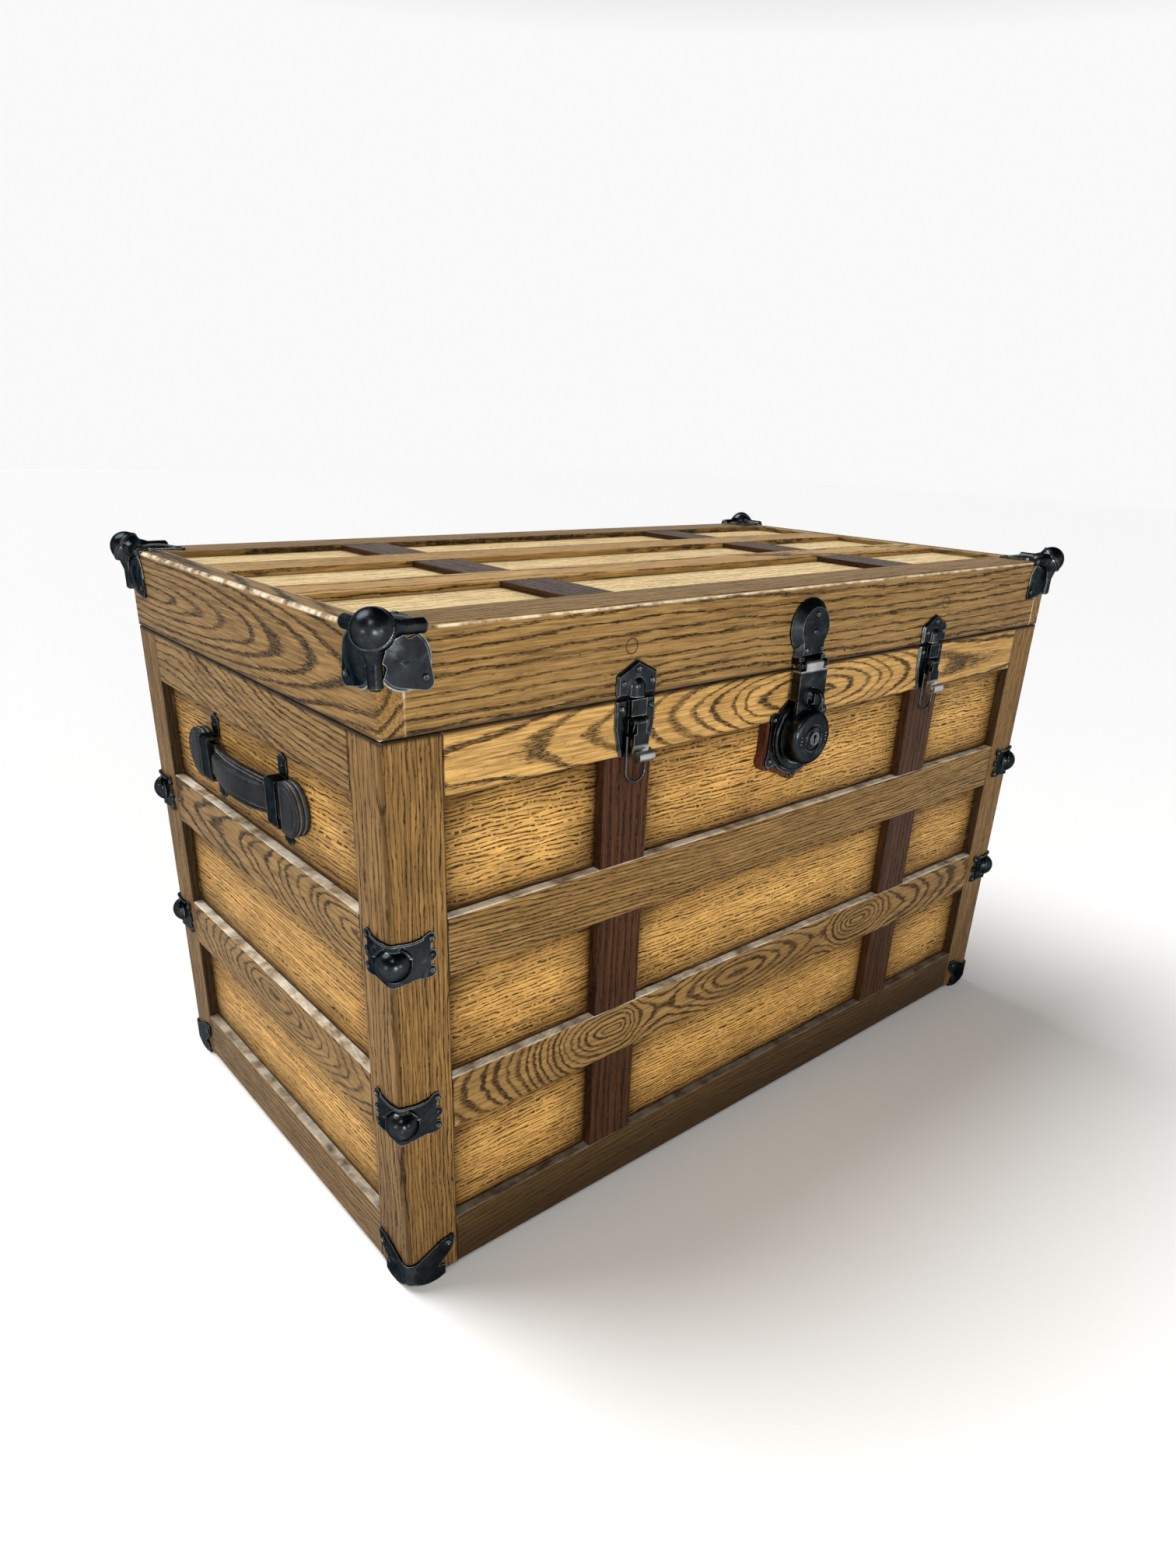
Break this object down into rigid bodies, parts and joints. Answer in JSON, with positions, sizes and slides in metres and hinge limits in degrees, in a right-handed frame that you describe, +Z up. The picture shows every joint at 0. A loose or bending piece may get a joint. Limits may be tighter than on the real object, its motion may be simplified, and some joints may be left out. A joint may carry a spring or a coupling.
{
  "type": "flat-top trunk",
  "caption": "Flat-top oak trunk with walnut strips, ball corners, slat clamps, draw-bolt latches, a hasp lock and leather end handles.",
  "frame": {"origin": "on the floor under the middle of the whole trunk, hardware included", "axes": "+X along the length to the viewer's right, +Y from the front with the lock to the back, +Z up"},
  "size_m": [0.9444, 0.5475, 0.6003],
  "materials": {
    "oak_upright": "oiled open-grain oak, upright grain",
    "oak_length": "oiled open-grain oak, grain along the length",
    "oak_depth": "oiled open-grain oak, grain along the depth",
    "lid_front": "oiled open-grain oak, grain along the length",
    "lid_end": "weathered oak, grain along the depth",
    "panel_length": "golden oiled wood, grain along the length",
    "panel_depth": "golden oiled wood, grain along the depth",
    "walnut_upright": "dark walnut, upright grain",
    "walnut_depth": "dark walnut, grain along the depth",
    "stained_backing": "reddish brown stained wood",
    "black_steel": "blue-black patina, semi-gloss, worn bright at the edges",
    "worn_steel": "worn dark steel",
    "leather": "black stitched leather"
  },
  "bodies": {
    "case": {"front_left_post": "oak_upright", "front_right_post": "oak_upright", "back_left_post": "oak_upright", "back_right_post": "oak_upright", "front_top_rail": "oak_length", "back_top_rail": "oak_length", "front_bottom_rail": "oak_length", "back_bottom_rail": "oak_length", "front_slats": "oak_length", "back_slats": "oak_length", "left_top_rail": "oak_depth", "right_top_rail": "oak_depth", "left_bottom_rail": "oak_depth", "right_bottom_rail": "oak_depth", "left_slats": "oak_depth", "right_slats": "oak_depth", "bottom_board": "panel_length", "front_panel": "panel_length", "back_panel": "panel_length", "left_panel": "panel_depth", "right_panel": "panel_depth", "front_walnut_strips": "walnut_upright", "back_walnut_strips": "walnut_upright", "lock_backing": "stained_backing", "bottom_corners": "black_steel", "slat_clamps": "black_steel", "hinge_case_leaves": "black_steel", "latch_plates": "black_steel", "lock_plate": "black_steel", "left_handle_loops": "black_steel", "right_handle_loops": "black_steel", "hinge_pins": "worn_steel", "latch_pins": "worn_steel"},
    "lid": {"lid_front_board": "lid_front", "lid_back_board": "lid_front", "lid_left_board": "lid_end", "lid_right_board": "lid_end", "lid_panel": "panel_length", "lid_front_rail": "oak_length", "lid_back_rail": "oak_length", "lid_slats": "oak_length", "lid_walnut_strips": "walnut_depth", "ball_corners": "black_steel", "hinge_lid_leaves": "black_steel", "latch_keepers": "black_steel", "lock_leaf": "black_steel", "hasp_pin": "worn_steel"},
    "hasp": {"hasp": "black_steel", "hasp_eye": "worn_steel"},
    "key_plug": {"key_plug": "worn_steel"},
    "left_latch_lever": {"left_latch_lever": "worn_steel"},
    "right_latch_lever": {"right_latch_lever": "worn_steel"},
    "left_latch_bolt": {"left_latch_bolt": "worn_steel"},
    "right_latch_bolt": {"right_latch_bolt": "worn_steel"},
    "left_latch_bail": {"left_latch_bail": "black_steel"},
    "right_latch_bail": {"right_latch_bail": "black_steel"},
    "left_handle": {"left_handle": "leather"},
    "right_handle": {"right_handle": "leather"}
  },
  "joints": [
    {"name": "lid_hinge", "type": "hinge", "parent": "case", "child": "lid", "pos_m": [0, 0.26298, 0.5083], "axis": [-1, 0, 0], "range_deg": [0, 105]},
    {"name": "hasp_swing", "type": "hinge", "parent": "lid", "child": "hasp", "pos_m": [0, -0.25443, 0.5125], "axis": [-1, 0, 0], "range_deg": [0, 110]},
    {"name": "key_turn", "type": "hinge", "parent": "hasp", "child": "key_plug", "pos_m": [0, -0.26643, 0.442], "axis": [0, 1, 0], "range_deg": [0, 90]},
    {"name": "left_lever_turn", "type": "hinge", "parent": "case", "child": "left_latch_lever", "pos_m": [-0.22, -0.25122, 0.489], "axis": [-1, 0, 0], "range_deg": [0, 110]},
    {"name": "left_bolt_slide", "type": "slide", "parent": "case", "child": "left_latch_bolt", "axis": [0, 0, 1], "range_m": [-0.014, 0]},
    {"name": "left_bail_swing", "type": "hinge", "parent": "case", "child": "left_latch_bail", "pos_m": [-0.22, -0.24963, 0.477], "axis": [-1, 0, 0], "range_deg": [0, 90]},
    {"name": "left_handle_lift", "type": "slide", "parent": "case", "child": "left_handle", "axis": [-1, 0, 0], "range_m": [0, 0.0035]},
    {"name": "right_lever_turn", "type": "hinge", "parent": "case", "child": "right_latch_lever", "pos_m": [0.22, -0.25122, 0.489], "axis": [-1, 0, 0], "range_deg": [0, 110]},
    {"name": "right_bolt_slide", "type": "slide", "parent": "case", "child": "right_latch_bolt", "axis": [0, 0, 1], "range_m": [-0.014, 0]},
    {"name": "right_bail_swing", "type": "hinge", "parent": "case", "child": "right_latch_bail", "pos_m": [0.22, -0.24963, 0.477], "axis": [-1, 0, 0], "range_deg": [0, 90]},
    {"name": "right_handle_lift", "type": "slide", "parent": "case", "child": "right_handle", "axis": [1, 0, 0], "range_m": [0, 0.0035]}
  ],
  "couplings": [
    {"joint": "left_bolt_slide", "follows": "left_lever_turn", "m_per_rad": -0.00729},
    {"joint": "right_bolt_slide", "follows": "right_lever_turn", "m_per_rad": -0.00729}
  ]
}
